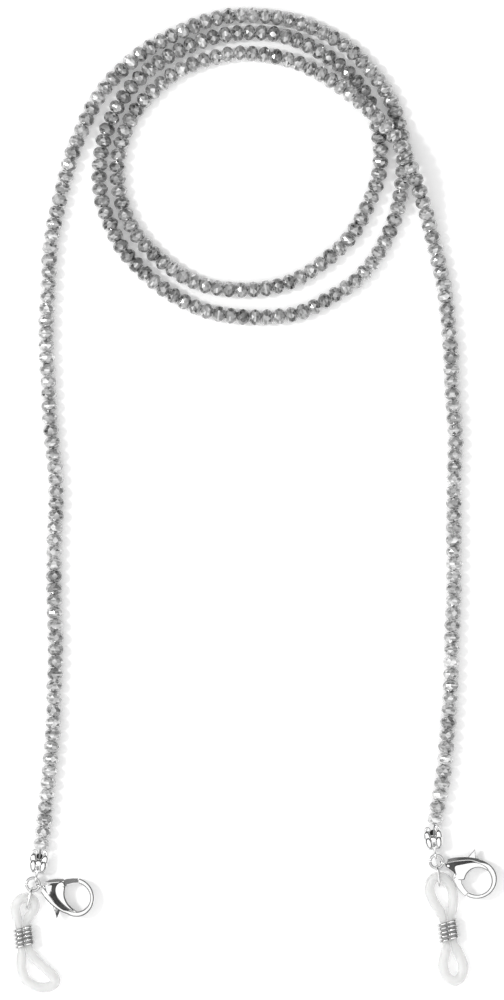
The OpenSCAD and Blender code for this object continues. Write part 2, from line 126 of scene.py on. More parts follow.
BEAD_COUNT = 292
START_GAP = 3.9 * MM
END_GAP = 4.1 * MM
BEAD_RADIUS = 1.6 * MM
BEAD_HALF = 1.15 * MM
WIRE_RADIUS = 0.2 * MM


def spline_point(a, b, c, d, t):
    """A point of a uniform cubic spline."""
    u = 1 - t
    return (
        u**3 * a + (3 * t**3 - 6 * t**2 + 4) * b + (3 * t**2 - 3 * t**3 + 3 * t + 1) * c + t**3 * d
    ) / 6


def open_spline(points, steps):
    """The line of an open spline through its two end points."""
    p = np.array(points, float)
    p = np.vstack([2 * p[0] - p[1], p, 2 * p[-1] - p[-2]])
    line = [
        spline_point(*p[i : i + 4], k / steps) for i in range(len(p) - 3) for k in range(steps)
    ]
    return np.array(line + [np.array(points[-1], float)])


def closed_spline(points, steps):
    """The line of a closed spline."""
    p = np.array(points, float)
    n = len(p)
    return np.array(
        [
            spline_point(*(p[(i + j) % n] for j in range(4)), k / steps)
            for i in range(n)
            for k in range(steps)
        ]
    )


LINE = open_spline(ROUTE, 8)
ALONG = np.concatenate([[0], np.cumsum(np.linalg.norm(np.diff(LINE, axis=0), axis=1))])
STRAND_LENGTH = float(ALONG[-1])


def at(s):
    """The point of the strand at the distance s from its left end."""
    return Vector([float(np.interp(s, ALONG, LINE[:, k])) for k in range(3)])


def way(s):
    """The strand's direction at the distance s."""
    return (at(s + 0.8 * MM) - at(s - 0.8 * MM)).normalized()


# ---------------------------------------------------------------- materials


def new_material(name):
    """A new material, its node tree and its Principled shader."""
    material = bpy.data.materials.new(name)
    material.use_nodes = True
    tree = material.node_tree
    tree.nodes.clear()
    output = tree.nodes.new("ShaderNodeOutputMaterial")
    shader = tree.nodes.new("ShaderNodeBsdfPrincipled")
    tree.links.new(shader.outputs["BSDF"], output.inputs["Surface"])
    return material, tree, shader


def noise(tree, scale, detail):
    """Noise in object space."""
    place = tree.nodes.new("ShaderNodeTexCoord")
    texture = tree.nodes.new("ShaderNodeTexNoise")
    texture.inputs["Scale"].default_value = scale
    texture.inputs["Detail"].default_value = detail
    texture.inputs["Roughness"].default_value = 0.55
    tree.links.new(place.outputs["Object"], texture.inputs["Vector"])
    return texture.outputs["Fac"]


def ramp(tree, value, stops):
    """A colour ramp on a value: stops are (place, grey or colour)."""
    node = tree.nodes.new("ShaderNodeValToRGB")
    elements = node.color_ramp.elements
    while len(elements) > 1:
        elements.remove(elements[-1])
    for k, (place, colour) in enumerate(stops):
        if not hasattr(colour, "__len__"):
            colour = (colour, colour, colour)
        element = elements[0] if k == 0 else elements.new(place)
        element.position = place
        element.color = (*colour, 1)
    tree.links.new(value, node.inputs["Fac"])
    return node.outputs["Color"]


def crystal_material():
    """Smoky half-silvered crystal: every facet has its own tone."""
    material, tree, shader = new_material("bead_crystal")
    tone = tree.nodes.new("ShaderNodeAttribute")
    tone.attribute_name = "tone"
    mottled = tree.nodes.new("ShaderNodeMath")
    mottled.operation = "ADD"
    grain = tree.nodes.new("ShaderNodeMath")
    grain.operation = "MULTIPLY_ADD"
    tree.links.new(noise(tree, 1400, 4), grain.inputs[0])
    grain.inputs[1].default_value = 0.5
    grain.inputs[2].default_value = -0.25
    tree.links.new(tone.outputs["Fac"], mottled.inputs[0])
    tree.links.new(grain.outputs["Value"], mottled.inputs[1])
    greys = [(0.0, 0.07), (0.45, 0.38), (0.8, 0.72), (1.0, 0.98)]
    colour = ramp(tree, mottled.outputs["Value"], greys)
    tree.links.new(colour, shader.inputs["Base Color"])
    shader.inputs["Metallic"].default_value = 0.35
    shader.inputs["Roughness"].default_value = 0.16
    shader.inputs["IOR"].default_value = 1.55
    shader.inputs["Transmission Weight"].default_value = 0.35
    shader.inputs["Coat Weight"].default_value = 0.6
    shader.inputs["Coat Roughness"].default_value = 0.05
    return material


def metal_material(name, light, dark, roughness):
    """Bright plating with faint cloudy tone and fine roughness."""
    material, tree, shader = new_material(name)
    tree.links.new(
        ramp(tree, noise(tree, 600, 3), [(0.3, dark), (0.7, light)]), shader.inputs["Base Color"]
    )
    tree.links.new(
        ramp(tree, noise(tree, 2500, 4), [(0.3, roughness * 0.7), (0.7, roughness * 1.4)]),
        shader.inputs["Roughness"],
    )
    shader.inputs["Metallic"].default_value = 1
    return material


def silicone_material():
    """Milky half-clear silicone."""
    material, tree, shader = new_material("silicone")
    tree.links.new(
        ramp(tree, noise(tree, 300, 2), [(0.3, (0.72, 0.72, 0.715)), (0.7, (0.77, 0.77, 0.765))]),
        shader.inputs["Base Color"],
    )
    tree.links.new(
        ramp(tree, noise(tree, 1800, 3), [(0.3, 0.35), (0.7, 0.5)]), shader.inputs["Roughness"]
    )
    shader.inputs["IOR"].default_value = 1.41
    shader.inputs["Subsurface Weight"].default_value = 1
    shader.inputs["Subsurface Scale"].default_value = 3 * MM
    shader.inputs["Subsurface Radius"].default_value = (1, 1, 1)
    shader.inputs["Alpha"].default_value = 0.44
    return material


def wire_material():
    """Grey nylon coating on the stringing wire."""
    material, tree, shader = new_material("stringing_wire")
    tree.links.new(
        ramp(tree, noise(tree, 1500, 3), [(0.3, 0.16), (0.7, 0.26)]), shader.inputs["Base Color"]
    )
    shader.inputs["Roughness"].default_value = 0.45
    return material


CRYSTAL = crystal_material()
SILVER = metal_material("silver_plate", 0.86, 0.78, 0.12)
# a darker copy of the silver plating: painted shade for the dark gaps between the coil's turns
COIL_SILVER_SHADED = metal_material("coil_silver_shaded", 0.74, 0.58, 0.13)
# a darker copy of the silver plating: painted shade for the jump rings' dark look
RING_SILVER_SHADED = metal_material("ring_silver_shaded", 0.66, 0.5, 0.13)
SPRING_STEEL = metal_material("spring_steel", 0.55, 0.45, 0.3)
# near-black metal put in the clasp slots and the bead tips' hollows: painted shade of these recesses, not
# a finish of the part
PAINTED_SHADE = metal_material("painted_shade_metal", 0.1, 0.03, 0.5)
SILICONE = silicone_material()
WIRE = wire_material()

# ---------------------------------------------------------------- meshes


def mesh_object(name, vertices, faces, material, smooth=True):
    """A mesh object from points and faces in the scene's own axes."""
    mesh = bpy.data.meshes.new(name)
    mesh.from_pydata([tuple(v) for v in vertices], [], faces)
    mesh.update()
    mesh.materials.append(material)
    mesh.polygons.foreach_set("use_smooth", [smooth] * len(mesh.polygons))
    obj = bpy.data.objects.new(name, mesh)
    scene.collection.objects.link(obj)
    return obj


def cross_frame(direction, up):
    """Two directions across a tube's direction."""
    n = np.cross(np.array(up, float), direction)
    n /= np.linalg.norm(n)
    return n, np.cross(direction, n)


def tube(line, radii, sides, closed=False, up=(0, 0, 1)):
    """Points and faces of a tube along a line."""
    count = len(line)
    vertices = []
    for i in range(count):
        if closed:
            d = line[(i + 1) % count] - line[i - 1]
        else:
            d = line[min(i + 1, count - 1)] - line[max(i - 1, 0)]
        n, b = cross_frame(d / np.linalg.norm(d), up)
        for j in range(sides):
            a = 2 * math.pi * j / sides
            vertices.append(line[i] + radii[i] * (math.cos(a) * n + math.sin(a) * b))
    faces = []
    for i in range(count if closed else count - 1):
        for j in range(sides):
            a, b = i * sides, ((i + 1) % count) * sides
            k = (j + 1) % sides
            faces.append((a + j, a + k, b + k, b + j))
    if not closed:
        faces.append(tuple(range(sides - 1, -1, -1)))
        faces.append(tuple((count - 1) * sides + j for j in range(sides)))
    return vertices, faces


# ---------------------------------------------------------------- stringing wire and beads

WIRE_TAIL = 0.7 * MM
WIRE_POINTS = 500
wire_stops = np.linspace(-WIRE_TAIL, STRAND_LENGTH + WIRE_TAIL, WIRE_POINTS)


def wire_point(s):
    """The wire's line, with its two short straight tails inside the bead tips."""
    if s < 0:
        return at(0) + way(0) * float(s)
    if s > STRAND_LENGTH:
        return at(STRAND_LENGTH) + way(STRAND_LENGTH) * float(s - STRAND_LENGTH)
    return at(float(s))


wire_curve = bpy.data.curves.new("wire", "CURVE")
wire_curve.dimensions = "3D"
wire_curve.bevel_depth = WIRE_RADIUS
wire_curve.bevel_resolution = 2
wire_curve.use_fill_caps = True
wire_line = wire_curve.splines.new("POLY")
wire_line.points.add(len(wire_stops) - 1)
for point, s in zip(wire_line.points, wire_stops):
    point.co = (*wire_point(s), 1)
wire_curve.materials.append(WIRE)
wire = bpy.data.objects.new("stringing_cord", wire_curve)
scene.collection.objects.link(wire)
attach(wire, "strand")
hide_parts("stringing_wire")

RUN_COUNT = 12
FACETS = 10
MIDDLE_TONE = 0.42
END_TONE_GAIN = 0.26
BEAD_TONE_SPREAD = 0.08
FACET_TONE_SPREAD = 0.2
PALE_TONE = 0.85
LEAN_SPREAD = 0.05


def bead_rings():
    """The bead's rings of corners: (place along the axis, radius, half step of turn)."""
    r, h = BEAD_RADIUS, BEAD_HALF
    half = [(h, 0.3 * r, 0), (h, 0.58 * r, 0), (0.6 * h, 0.91 * r, 1), (0.15 * h, 1.03 * r, 0)]
    return half + [(-z, q, k) for z, q, k in reversed(half)]


def facet_faces():
    """One bead's faces: flat ends, two bands of triangles on each side, girdle and hole."""
    n = FACETS
    rings = bead_rings()
    faces = []
    for i in range(len(rings) - 1):
        for j in range(n):
            k = (j + 1) % n
            a, b = i * n, (i + 1) * n
            first, second = rings[i][2], rings[i + 1][2]
            if first == second:
                faces.append((a + j, b + j, b + k, a + k))
            elif second > first:
                faces.append((a + j, b + j, a + k))
                faces.append((b + j, b + k, a + k))
            else:
                faces.append((a + j, b + j, b + k))
                faces.append((a + j, b + k, a + k))
    last = (len(rings) - 1) * n
    for j in range(n):
        k = (j + 1) % n
        faces.append((last + j, j, k, last + k))
    return faces


FACET_FACES = facet_faces()


def bead_corners(centre, direction):
    """One bead's corners, turned at random about the wire, with the small play of a strung bead."""
    turn = random.uniform(0, 2 * math.pi)
    size = random.uniform(0.975, 1.015)
    lean_x = Matrix.Rotation(random.gauss(0, LEAN_SPREAD), 3, "X")
    lean_y = Matrix.Rotation(random.gauss(0, LEAN_SPREAD), 3, "Y")
    pose = direction.to_track_quat("Z", "Y").to_matrix() @ (lean_x @ lean_y)
    corners = []
    for z, r, half in bead_rings():
        for j in range(FACETS):
            a = turn + (j + 0.5 * half) * 2 * math.pi / FACETS
            corners.append(centre + pose @ (size * Vector((r * math.cos(a), r * math.sin(a), z))))
    return corners


def bead_run(k):
    """The beads of one run, as one faceted mesh with a tone on each facet."""
    first = int(math.floor((k - 1) * BEAD_COUNT / RUN_COUNT + 0.5))
    last = int(math.floor(k * BEAD_COUNT / RUN_COUNT + 0.5))
    pitch = (STRAND_LENGTH - START_GAP - END_GAP) / (BEAD_COUNT - 1)
    vertices, faces, tones = [], [], []
    for i in range(first, last):
        s = START_GAP + i * pitch
        base = len(vertices)
        vertices += bead_corners(at(s), way(s))
        faces += [tuple(base + v for v in face) for face in FACET_FACES]
        mean_tone = MIDDLE_TONE + END_TONE_GAIN * abs(2 * s / STRAND_LENGTH - 1)
        body_tone = random.gauss(mean_tone, BEAD_TONE_SPREAD)
        if i in (0, BEAD_COUNT - 1):
            body_tone = PALE_TONE
        drawn = [random.gauss(body_tone, FACET_TONE_SPREAD) for _ in FACET_FACES]
        tones += [min(1, max(0, tone)) for tone in drawn]
    obj = mesh_object(f"beads_{k:02d}", vertices, faces, CRYSTAL, smooth=False)
    attribute = obj.data.attributes.new("tone", "FLOAT", "FACE")
    attribute.data.foreach_set("value", tones)
    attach(obj, "strand")
    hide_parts(f"bead_run_{k:02d}")
    return obj


bead_objects = [bead_run(k) for k in range(1, RUN_COUNT + 1)]

# ---------------------------------------------------------------- end hardware

# sizes shared with the CAD, with wires and cords given by their radius
HARDWARE_Z = 1.8 * MM
BAND_Z = 1.6 * MM
TIP_REACH = 3.15 * MM
RING_RADIUS = 1.3 * MM
RING_WIRE = 0.3 * MM
EYE_RADIUS = 0.65 * MM
EYE_WIRE = 0.25 * MM
LINK_RADIUS = 1.5 * MM
LINK_SIDE = 1.3 * MM
LINK_WIRE = 0.25 * MM
BAND_RADIUS = 1.0 * MM
WAIST_RADIUS = 0.72 * MM

# of the visible pieces only
LINK_STEPS = 24
TURN_LEAN = 0.08

# spline points of the silicone cords about their coils, in metres
LOOP_LEFT = [
    (0.00075, -0.0015), (0.00075, 0), (0.00075, 0.0015), (0.00075, 0.003), (0.0016, 0.0041),
    (0.0027, 0.0052), (0.003, 0.0065), (0.00245, 0.0075), (0.00105, 0.0079), (-0.00035, 0.0075),
    (-0.0012, 0.0062), (-0.00115, 0.0046), (-0.00075, 0.003), (-0.00075, 0.0015), (-0.00075, 0),
    (-0.00075, -0.0015), (-0.00075, -0.003), (-0.00115, -0.0048), (-0.0013, -0.007),
    (-0.00045, -0.0092), (0.0015, -0.01035), (0.0036, -0.01065), (0.0053, -0.00995),
    (0.0053, -0.00855), (0.0037, -0.0069), (0.0019, -0.0049), (0.00075, -0.003),
]
LOOP_RIGHT = [
    (0.00075, -0.0015), (0.00075, 0), (0.00075, 0.0015), (0.00075, 0.003), (0.0015, 0.0047),
    (0.0019, 0.0066), (0.0018, 0.0086), (0.001, 0.01035), (-0.00045, 0.0113), (-0.0021, 0.0107),
    (-0.00285, 0.0089), (-0.00245, 0.0066), (-0.00145, 0.0046), (-0.00075, 0.003),
    (-0.00075, 0.0015), (-0.00075, 0), (-0.00075, -0.0015), (-0.00075, -0.003), (-0.0014, -0.0047),
    (-0.00225, -0.007), (-0.0015, -0.00955), (0, -0.0103), (0.0015, -0.00955), (0.00225, -0.007),
    (0.0014, -0.0047), (0.00075, -0.003),
]

# each clasp's outlines in its own millimetres, x from the eye to the hook and y across. The hook's rails
# are given by their distance from the mouth's centre at each angle of "turn", in degrees. "shoulders"
# are the widths of the slope along the outer side of arm and hook
MOUTH = Vector((7.9, 0))
HUB_EDGE = [(4.6, 2.25), (3.9, 2.35), (3.25, 1.75)]
CLASP_LEFT = {
    "arm_outer": [(0.7, -1.1), (1.7, -1.85), (2.8, -2.5), (3.9, -3.0), (5.0, -3.35), (6.1, -3.58)],
    "arm_inner": [(0.85, 0.0), (1.9, -0.6), (2.85, -1.4), (3.9, -2.15), (4.95, -2.72), (6.1, -3.0)],
    "turn": [-103, -90, -70, -50, -30, 0, 30, 50, 70, 90, 101],
    "outer": [3.7, 3.74, 3.72, 3.68, 3.55, 3.4, 3.42, 3.5, 3.65, 3.85, 3.95],
    "inner": [2.92, 2.78, 2.7, 2.68, 2.68, 2.7, 2.72, 2.76, 2.82, 2.92, 3.0],
    "face": HUB_EDGE
    + [(3.0, 0.9), (3.25, -0.2), (3.95, -1.1), (4.85, -1.7), (5.8, -2.15), (6.8, -2.55)]
    + [(7.9, -2.8), (8.9, -2.6), (8.4, -2.5), (7.2, -2.1), (6.1, -1.35), (5.35, -0.3)]
    + [(5.1, 0.6), (5.05, 1.4)],
    "neck": [(0.6, 0.75), (1.9, 1.3), (2.5, 1.3), (2.75, 0.2), (2.6, -1.3), (1.5, -0.8)],
    "brow": [(0.6, 0.8), (1.9, 1.2), (3.3, 1.8), (4.7, 2.4), (4.5, 3.05), (3.5, 2.75), (2.0, 2.2)]
    + [(1.1, 1.5)],
    "slot": [(1.5, 0.6), (2.6, 1.5), (3.9, 2.0), (4.6, 1.4), (4.9, 0.2), (5.7, -1.6), (7.3, -2.75)]
    + [(6.3, -3.1), (5.0, -2.9), (3.8, -2.5), (2.7, -1.8), (1.8, -0.8)],
    "tab": (5.4, -5.25),
    "tab_slope": (0.8, 0),
    "gate_slope": (0.25, -0.85),
    "shoulders": [0.2, 0.2, 0.2, 0.25, 0.25, 0.25, 0.2, 0.2, 0.2, 0.2, 0.2],
}
CLASP_RIGHT = {
    "arm_outer": [(0.5, -1.1), (1.35, -1.9), (2.3, -2.5), (3.5, -3.15), (4.7, -3.65), (5.9, -3.98)],
    "arm_inner": [(0.8, -0.25), (1.5, -0.85), (2.7, -1.75), (3.9, -2.6), (4.9, -3.1), (6.1, -3.2)],
    "turn": [-112, -90, -70, -50, -30, 0, 30, 50, 70, 90, 101],
    "outer": [4.25, 4.05, 3.95, 3.85, 3.7, 3.5, 3.42, 3.45, 3.55, 3.72, 3.8],
    "inner": [3.3, 3.0, 2.8, 2.72, 2.7, 2.7, 2.7, 2.72, 2.78, 2.88, 2.95],
    "face": [(4.15, 1.75), (3.6, 1.35), (2.9, 0.55), (2.3, -0.1), (2.2, -0.7), (2.9, -1.25)]
    + [(3.7, -1.85), (4.5, -2.5), (5.3, -3.05), (6.3, -3.4), (7.3, -3.45), (8.3, -3.3), (8.9, -2.9)]
    + [(7.9 + 2.7 * math.cos(a), 2.7 * math.sin(a)) for a in np.radians(np.arange(-75, -205, -8))],
    "slot": [(0.7, 0.3), (2.5, 0.6), (3.6, 1.0), (4.6, 0.4), (5.2, -1.6), (5.6, -3.2), (4.7, -3.4)]
    + [(3.5, -2.8), (2.3, -2.1), (1.3, -1.3), (0.7, -0.6)],
    "tab": (4.45, -5.35),
    "tab_slope": (0, 0),
    "gate_slope": (0, 0),
    "shoulders": [0.7, 0.9, 0.9, 0.6, 0.2, 0.2, 0.2, 0.2, 0.2, 0.2, 0.2],
}


class End:
    """One end of the strap: where its pieces sit, as the CAD has them."""

    def __init__(
        self, side, tip, tip_dir, hook_dir, seat, clasp_dir, flip, shape, link_dir, coil, tilt, loop
    ):
        self.side = side
        self.tip = Vector((*tip, HARDWARE_Z))
        self.tip_dir = tip_dir
        self.eye = self.tip - TIP_REACH * ray(tip_dir)
        self.ring = self.eye - RING_RADIUS * ray(hook_dir)
        self.clasp = self.ring + RING_RADIUS * ray(seat)
        self.clasp_dir = clasp_dir
        self.flip = flip
        self.shape = shape
        self.link_dir = link_dir
        self.coil = Vector((*coil, BAND_Z))
        self.tilt = tilt
        self.loop = loop

    def piece(self, name):
        return f"{name}_{self.side}"

    def clasp_pose(self):
        """From the clasp's own millimetres to the scene's axes."""
        turn = Matrix.Rotation(math.radians(self.clasp_dir), 4, "Z")
        mirror = Matrix.Diagonal((MM, self.flip * MM, MM, 1))
        return Matrix.Translation(self.clasp) @ turn @ mirror


def ray(degrees):
    """A level direction."""
    return Vector((math.cos(math.radians(degrees)), math.sin(math.radians(degrees)), 0))


ENDS = [
    End(
        side="left",
        tip=(-0.0431, -0.0726),
        tip_dir=81,
        hook_dir=62,
        seat=-13,
        clasp_dir=-18,
        flip=1,
        shape=CLASP_LEFT,
        link_dir=-105,
        coil=(-0.046, -0.0874),
        tilt=6.5,
        loop=LOOP_LEFT,
    ),
    End(
        side="right",
        tip=(0.0359, -0.0679),
        tip_dir=97,
        hook_dir=100,
        seat=-12,
        clasp_dir=-27,
        flip=-1,
        shape=CLASP_RIGHT,
        link_dir=-83,
        coil=(0.0389, -0.0862),
        tilt=7.5,
        loop=LOOP_RIGHT,
    ),
]


def finish_piece(obj, body, slot, *nodes):
    """Puts a piece on its CAD body in place of its CAD nodes."""
    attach(obj, body)
    if nodes:
        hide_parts(*nodes)


def join_parts(name, parts, material, flat_parts=()):
    """One mesh object from lists of points and faces, smooth ones and flat ones."""
    vertices, faces, smooth = [], [], []
    for group, shade in ((parts, True), (flat_parts, False)):
        for points, polygons in group:
            base = len(vertices)
            vertices += list(points)
            faces += [tuple(base + i for i in polygon) for polygon in polygons]
            smooth += [shade] * len(polygons)
    obj = mesh_object(name, vertices, faces, material)
    obj.data.polygons.foreach_set("use_smooth", smooth)
    return obj


def moved(part, matrix):
    """A part's points through a matrix. A mirror turns its faces over."""
    points, faces = part
    if matrix.determinant() < 0:
        faces = [tuple(reversed(face)) for face in faces]
    return [matrix @ Vector(p) for p in points], faces


def torus(radius, wire, start=0.0, sweep=360.0, steps=96, sides=20):
    """A ring of wire round Z, or an arc of one with closed ends."""
    whole = sweep >= 360
    count = steps if whole else steps + 1
    line = np.array(
        [
            (radius * math.cos(a), radius * math.sin(a), 0)
            for a in (math.radians(start + sweep * i / steps) for i in range(count))
        ]
    )
    return tube(line, [wire] * count, sides, closed=whole)


def ellipsoid(centre, sizes, rows=24, columns=36):
    """Points and faces of an ellipsoid."""
    points = [(0, 0, 1)]
    for i in range(1, rows):
        a = math.pi * i / rows
        points += [
            (math.sin(a) * math.cos(t), math.sin(a) * math.sin(t), math.cos(a))
            for t in (2 * math.pi * j / columns for j in range(columns))
        ]
    points.append((0, 0, -1))
    faces = [(0, 1 + j, 1 + (j + 1) % columns) for j in range(columns)]
    for i in range(rows - 2):
        a, b = 1 + i * columns, 1 + (i + 1) * columns
        faces += [
            (a + j, b + j, b + (j + 1) % columns, a + (j + 1) % columns) for j in range(columns)
        ]
    last, end = 1 + (rows - 2) * columns, len(points) - 1
    faces += [(end, last + (j + 1) % columns, last + j) for j in range(columns)]
    return [[c + s * x for c, s, x in zip(centre, sizes, p)] for p in points], faces


def hook_eye():
    """The small ring standing on edge that a bead tip or a clasp hangs by, in millimetres."""
    eye = torus(EYE_RADIUS / MM, EYE_WIRE / MM, steps=48, sides=16)
    return moved(eye, Matrix.Rotation(math.pi / 2, 4, "X"))


# ---------------------------------------------------------------- bead tips


def bead_tip(end):
    """Clamshell bead tip: two domed cups about a seam, flared ears, neck and hook eye."""
    parts = []
    for side in (-1, 1):
        cup = ellipsoid((0, 0, 0), (1.6, 0.95, 1.35))
        lean = Matrix.Rotation(math.radians(7 * side), 4, "Z")
        parts.append(moved(cup, Matrix.Translation((-0.5, side * 0.98, 0)) @ lean))
        petal = [(0, side, 0.1), (0.7, side * 1.15, 0.25), (1.3, side * 1.2, 0.4)]
        petal += [(1.9, side * 1.1, 0.5)]
        parts.append(tube(np.array(petal), [0.9, 0.85, 0.68, 0.45], 20))
        ear = moved(torus(0.42, 0.22, steps=32, sides=14), Matrix.Rotation(0.3 * side, 4, "X"))
        parts.append(moved(ear, Matrix.Translation((2.05, side * 1.02, 0.6))))
    parts.append(
        tube(np.array([(x, 0, 0) for x in (-2.65, -2.3, -1.9, -1.3)]), [0.24, 0.3, 0.45, 0.6], 20)
    )
    parts.append(moved(hook_eye(), Matrix.Translation((-TIP_REACH / MM, 0, 0))))
    pose = (
        Matrix.Translation(end.tip)
        @ Matrix.Rotation(math.radians(end.tip_dir), 4, "Z")
        @ Matrix.Scale(MM, 4)
    )
    obj = join_parts(end.piece("clamshell"), [moved(p, pose) for p in parts], SILVER)
    finish_piece(obj, end.piece("tip"), "silver_plate", end.piece("bead_tip"))
    # a near-black ellipsoid in the tip's hollow between the cups: painted shade of the hollow
    hollow = moved(ellipsoid((0.75, 0, -0.4), (1.2, 0.8, 0.42)), pose)
    tip_shade = join_parts(end.piece("tip_painted_shade"), [hollow], PAINTED_SHADE)
    finish_piece(tip_shade, end.piece("tip"), "silver_plate")


# ---------------------------------------------------------------- jump and link rings


def jump_ring(end):
    """The split ring, its cut facing away from the clasp."""
    part = torus(RING_RADIUS, RING_WIRE, start=184, sweep=352, steps=96, sides=20)
    placed = moved(part, Matrix.Translation(end.ring))
    obj = join_parts(end.piece("split_ring"), [placed], RING_SILVER_SHADED)
    finish_piece(obj, end.piece("ring"), "silver_plate", end.piece("jump_ring"))


def link_ring(end):
    """The oval link, standing on edge."""
    near = RING_RADIUS - EYE_RADIUS + LINK_RADIUS
    line = []
    for middle, start in ((near + LINK_SIDE, -90), (near, 90)):
        for i in range(LINK_STEPS + 1):
            a = math.radians(start + 180 * i / LINK_STEPS)
            line.append((middle + LINK_RADIUS * math.cos(a), 0, LINK_RADIUS * math.sin(a)))
    part = tube(np.array(line), [LINK_WIRE] * len(line), 16, closed=True, up=(0, 1, 0))
    pose = Matrix.Translation(end.ring) @ Matrix.Rotation(math.radians(end.link_dir), 4, "Z")
    obj = join_parts(end.piece("oval_link"), [moved(part, pose)], SILVER)
    finish_piece(obj, end.piece("link"), "silver_plate", end.piece("link_ring"))


# ---------------------------------------------------------------- lobster clasps


def circle_points(centre, radius, start, stop, count):
    """Points of an arc in a plane, angles in degrees."""
    return [
        (centre[0] + radius * math.cos(a), centre[1] + radius * math.sin(a))
        for a in (math.radians(start + (stop - start) * i / (count - 1)) for i in range(count))
    ]


# a chamfer rises by this share of its width
CHAMFER_RISE = 0.75


def plate(outline, low, high, bevel, slope=(0, 0), pivot=(0, 0)):
    """A plate with chamfered edges, from its outline, in millimetres. Its top may slope."""
    curve = bpy.data.curves.new("outline", "CURVE")
    curve.dimensions = "2D"
    curve.fill_mode = "BOTH"
    curve.bevel_depth = bevel
    curve.bevel_resolution = 0
    curve.offset = -bevel
    half = (high - low) / 2 - bevel * CHAMFER_RISE
    curve.extrude = half
    line = curve.splines.new("POLY")
    line.points.add(len(outline) - 1)
    for point, (x, y) in zip(line.points, outline):
        point.co = (x, y, 0, 1)
    line.use_cyclic_u = True
    holder = bpy.data.objects.new("outline", curve)
    scene.collection.objects.link(holder)
    bpy.context.view_layer.update()
    mesh = bpy.data.meshes.new_from_object(
        holder.evaluated_get(bpy.context.evaluated_depsgraph_get())
    )
    bpy.data.objects.remove(holder)
    work = bmesh.new()
    work.from_mesh(mesh)
    bmesh.ops.remove_doubles(work, verts=work.verts, dist=1e-4)
    bmesh.ops.recalc_face_normals(work, faces=work.faces)
    points = []
    for v in work.verts:
        x, y, z = v.co
        beyond = max(0, abs(z) - half)
        z = math.copysign(abs(z) - beyond * (1 - CHAMFER_RISE), z)
        if z > 0:
            z += slope[0] * (x - pivot[0]) + slope[1] * (y - pivot[1])
        points.append((x, y, z + (low + high) / 2))
    faces = [tuple(v.index for v in f.verts) for f in work.faces]
    work.free()
    bpy.data.meshes.remove(mesh)
    return points, faces


def rounded(outline, steps=6):
    """A closed outline with its corners rounded off."""
    return [tuple(p) for p in closed_spline(outline, steps)]


def band(outer, inner, heights, shoulders, steps=160):
    """A band between two rails: flat on top, with a wide or narrow slope on its outer side."""
    stops = np.linspace(0, 1, len(outer))
    where = np.linspace(0, 1, steps + 1)
    rails = [
        np.stack([np.interp(where, stops, np.array(rail)[:, k]) for k in (0, 1)], axis=1)
        for rail in (outer, inner)
    ]
    tall = np.interp(where, np.linspace(0, 1, len(heights)), heights)
    wide = np.interp(where, np.linspace(0, 1, len(shoulders)), shoulders)
    points = []
    for i in range(steps + 1):
        middle, half = (rails[0][i] + rails[1][i]) / 2, (rails[0][i] - rails[1][i]) / 2
        w, h = float(np.linalg.norm(half)), float(tall[i])
        slope = min(float(wide[i]), 1.5 * w)
        chamfer = min(0.18, 0.4 * w)
        section = [
            (1, 0.15 - h),
            (1, h - CHAMFER_RISE * slope),
            (1 - slope / w, h),
            (chamfer / w - 1, h),
            (-1, h - CHAMFER_RISE * chamfer),
            (-1, 0.15 - h),
            (0.15 / w - 1, -h),
            (1 - 0.15 / w, -h),
        ]
        points += [(*(middle + c * half), z) for c, z in section]
    sides = len(section)
    faces = []
    for i in range(steps):
        for j in range(sides):
            a, b, k = i * sides, (i + 1) * sides, (j + 1) % sides
            faces.append((a + j, b + j, b + k, a + k))
    faces.append(tuple(range(sides)))
    faces.append(tuple(steps * sides + j for j in reversed(range(sides))))
    return points, faces


def round_mouth(radius, degrees):
    """A point about the mouth."""
    a = math.radians(degrees)
    return MOUTH.x + radius * math.cos(a), radius * math.sin(a)


def fixed_arm(shape):
    """The band from the neck along the fixed arm and round the hook to its nose."""
    outer = open_spline(shape["arm_outer"], 4).tolist()
    inner = open_spline(shape["arm_inner"], 4).tolist()
    turns = np.linspace(shape["turn"][0], shape["turn"][-1], 48)
    for a in turns:
        outer.append(round_mouth(float(np.interp(a, shape["turn"], shape["outer"])), a))
        inner.append(round_mouth(float(np.interp(a, shape["turn"], shape["inner"])), a))
    heights = [0.75, 1.0, 1.15, 1.2, 1.15, 1.1, 1.05, 1.0, 1.0, 1.0, 0.95]
    return band(outer, inner, heights, shape["shoulders"])


def clasp_body(end):
    """The clasp's cast body: eye, neck, raised face, fixed arm and hook."""
    shape = end.shape
    smooth = [
        hook_eye(),
        ellipsoid((1.2, 0, 0), (0.65, 0.55, 0.7)),
    ]
    flat = [
        plate(rounded(shape["face"], 3), 0.56, 1.25, 0.2),
        plate(rounded(shape["face"], 3), -1.25, -0.56, 0.2),
        fixed_arm(shape),
    ]
    if "neck" in shape:
        flat.append(plate(rounded(shape["neck"]), -0.9, 0.8, 0.2, (0.1, -0.3), (1.5, 0)))
        flat.append(plate(rounded(shape["brow"]), -0.9, 0.8, 0.12, (0.3, -0.85), (2.4, 1.8)))
    pose = end.clasp_pose()
    obj = join_parts(
        end.piece("lobster"),
        [moved(p, pose) for p in smooth],
        SILVER,
        [moved(p, pose) for p in flat],
    )
    finish_piece(obj, end.piece("clasp"), "silver_plate", end.piece("clasp_body"))


def clasp_slot(end):
    """Near-black sheets in the slot that the lever lies in: painted shade of the slot."""
    outline = end.shape["slot"]
    # two thin near-black plates: painted shade in the slot, above and below the lever
    parts = [plate(outline, 0.5, 0.62, 0.02), plate(outline, -0.62, -0.5, 0.02)]
    obj = join_parts(
        end.piece("slot_painted_shade"), [], PAINTED_SHADE, [moved(p, end.clasp_pose()) for p in parts]
    )
    finish_piece(obj, end.piece("clasp"), "silver_plate")


